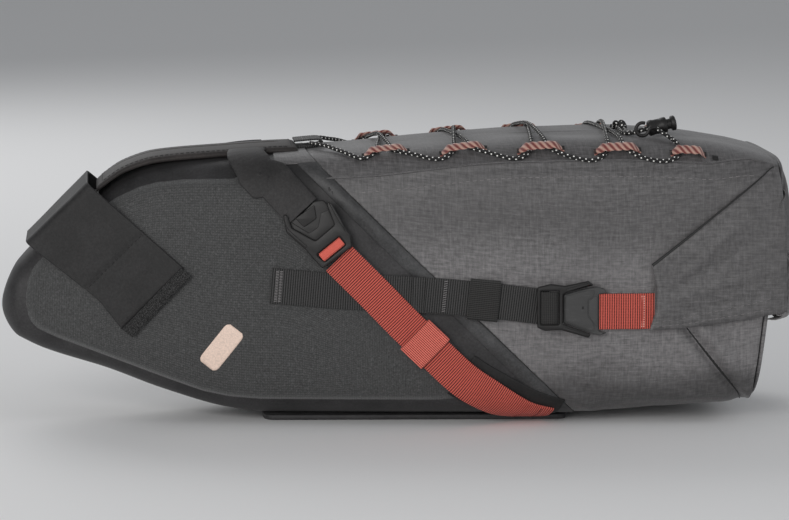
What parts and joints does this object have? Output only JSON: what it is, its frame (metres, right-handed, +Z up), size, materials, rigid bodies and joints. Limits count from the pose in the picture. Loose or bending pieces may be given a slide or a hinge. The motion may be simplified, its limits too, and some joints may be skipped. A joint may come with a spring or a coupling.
{
  "type": "saddle bag",
  "caption": "Tapered roll-top bikepacking saddle bag: moulded nose, seatpost strap, saddle buckles, side buckles and lacing along its top.",
  "frame": {"origin": "on the base patch's underside, which the bag stands on, on its middle plane and half way along the closed bag", "axes": "+Z up, -X is the nose that lies against the seatpost, +X is the roll-top mouth, -Y is the bag's left side"},
  "size_m": [0.5471, 0.1764, 0.2127],
  "materials": {
    "smooth_fabric": "smooth coated black fabric, satin",
    "moulded_panel": "moulded charcoal heather fabric over foam, matt",
    "grey_ripstop": "coated dark grey micro-ripstop, satin",
    "wide_strap": "laminated black strap cloth, satin",
    "hook_tape": "black hook tape, matt",
    "black_webbing": "woven black webbing, matt",
    "red_webbing": "woven coral red webbing, matt",
    "black_nylon": "moulded black nylon, low gloss",
    "latch_nylon": "moulded dark grey nylon, satin",
    "flecked_cord": "braided black cord with pale flecks",
    "grip_rubber": "grip rubber, matt",
    "stiffener": "white polyethylene sheet",
    "spring_steel": "bright spring wire"
  },
  "bodies": {
    "root": {"base_patch": "smooth_fabric", "base_stiffener": "stiffener", "nose_shell": "smooth_fabric", "rear_shell": "grey_ripstop", "nose_panel_left": "moulded_panel", "nose_panel_right": "moulded_panel", "saddle_pad": "smooth_fabric", "cord_tab": "black_webbing", "seatpost_strap": "wide_strap", "seatpost_pad": "grip_rubber", "saddle_strap_left": "wide_strap", "saddle_strap_right": "wide_strap", "saddle_hook_left": "black_nylon", "saddle_hook_right": "black_nylon", "root_patch_left": "smooth_fabric", "root_patch_right": "smooth_fabric", "side_strap_root_left": "black_webbing", "side_strap_root_right": "black_webbing", "lacing_loop_left_1": "red_webbing", "lacing_loop_left_2": "red_webbing", "lacing_loop_left_3": "red_webbing", "lacing_loop_left_4": "red_webbing", "lacing_loop_left_5": "red_webbing", "lacing_loop_right_1": "red_webbing", "lacing_loop_right_2": "red_webbing", "lacing_loop_right_3": "red_webbing", "lacing_loop_right_4": "red_webbing", "lacing_loop_right_5": "red_webbing", "lacing_left": "flecked_cord", "lacing_right": "flecked_cord"},
    "seatpost_flap": {"seatpost_flap": "wide_strap", "hook_strip": "hook_tape"},
    "closure": {"rear_panel": "grey_ripstop", "closure_roll": "grey_ripstop", "roll_stiffener": "stiffener", "closure_ear_left": "grey_ripstop", "closure_ear_right": "grey_ripstop", "ear_strap_left": "red_webbing", "ear_strap_right": "red_webbing", "latch_left": "latch_nylon", "latch_right": "latch_nylon"},
    "red_strap_left": {"red_strap_left": "red_webbing", "saddle_buckle_left": "black_nylon"},
    "red_keeper_left": {"red_keeper_left": "red_webbing"},
    "side_strap_left": {"side_strap_left": "black_webbing", "side_buckle_left": "black_nylon"},
    "side_keeper_left": {"side_keeper_left": "black_webbing"},
    "red_strap_right": {"red_strap_right": "red_webbing", "saddle_buckle_right": "black_nylon"},
    "red_keeper_right": {"red_keeper_right": "red_webbing"},
    "side_strap_right": {"side_strap_right": "black_webbing", "side_buckle_right": "black_nylon"},
    "side_keeper_right": {"side_keeper_right": "black_webbing"},
    "cord_lock": {"cord_lock": "black_nylon", "cord_lock_spring": "spring_steel", "cord_tail_1": "flecked_cord", "cord_tail_2": "flecked_cord", "cord_knot": "flecked_cord"},
    "cord_lock_button": {"cord_lock_button": "black_nylon"}
  },
  "joints": [
    {"name": "seatpost_flap_hinge", "type": "hinge", "parent": "root", "child": "seatpost_flap", "pos_m": [-0.2582, -0.03239, 0.1264], "axis": [-0.7055, 0.1517, -0.6923], "range_deg": [0, 100]},
    {"name": "closure_hinge", "type": "hinge", "parent": "root", "child": "closure", "pos_m": [0.2632, 0, 0.187], "axis": [0, -1, 0], "range_deg": [0, 100]},
    {"name": "red_strap_left_hinge", "type": "hinge", "parent": "root", "child": "red_strap_left", "pos_m": [0.07222, -0.06904, 0.01127], "axis": [0.5213, -0.5677, 0.6372], "range_deg": [0, 90]},
    {"name": "red_keeper_left_slide", "type": "slide", "parent": "red_strap_left", "child": "red_keeper_left", "axis": [0.7182, -0.0462, -0.6943], "range_m": [0, 0.0065]},
    {"name": "side_strap_left_hinge", "type": "hinge", "parent": "root", "child": "side_strap_left", "pos_m": [0.01554, -0.07546, 0.0932], "axis": [-0.0858, 0.0079, -0.9963], "range_deg": [0, 90]},
    {"name": "side_keeper_left_slide", "type": "slide", "parent": "side_strap_left", "child": "side_keeper_left", "axis": [0.9923, -0.0809, -0.0935], "range_m": [-0.018, 0.013]},
    {"name": "red_strap_right_hinge", "type": "hinge", "parent": "root", "child": "red_strap_right", "pos_m": [0.07222, 0.06904, 0.01127], "axis": [-0.5213, -0.5677, -0.6372], "range_deg": [0, 90]},
    {"name": "red_keeper_right_slide", "type": "slide", "parent": "red_strap_right", "child": "red_keeper_right", "axis": [0.7182, 0.0462, -0.6943], "range_m": [0, 0.0065]},
    {"name": "side_strap_right_hinge", "type": "hinge", "parent": "root", "child": "side_strap_right", "pos_m": [0.01554, 0.07546, 0.0932], "axis": [0.0858, 0.0079, 0.9963], "range_deg": [0, 90]},
    {"name": "side_keeper_right_slide", "type": "slide", "parent": "side_strap_right", "child": "side_keeper_right", "axis": [0.9923, 0.0809, -0.0935], "range_m": [-0.018, 0.013]},
    {"name": "cord_lock_slide", "type": "slide", "parent": "root", "child": "cord_lock", "axis": [1, 0, 0], "range_m": [0, 0.01]},
    {"name": "cord_lock_button_press", "type": "slide", "parent": "cord_lock", "child": "cord_lock_button", "axis": [-0.9781, 0, -0.2079], "range_m": [0, 0.0028], "stiffness_N_per_m": 900, "deforming": ["cord_lock_spring"]}
  ]
}
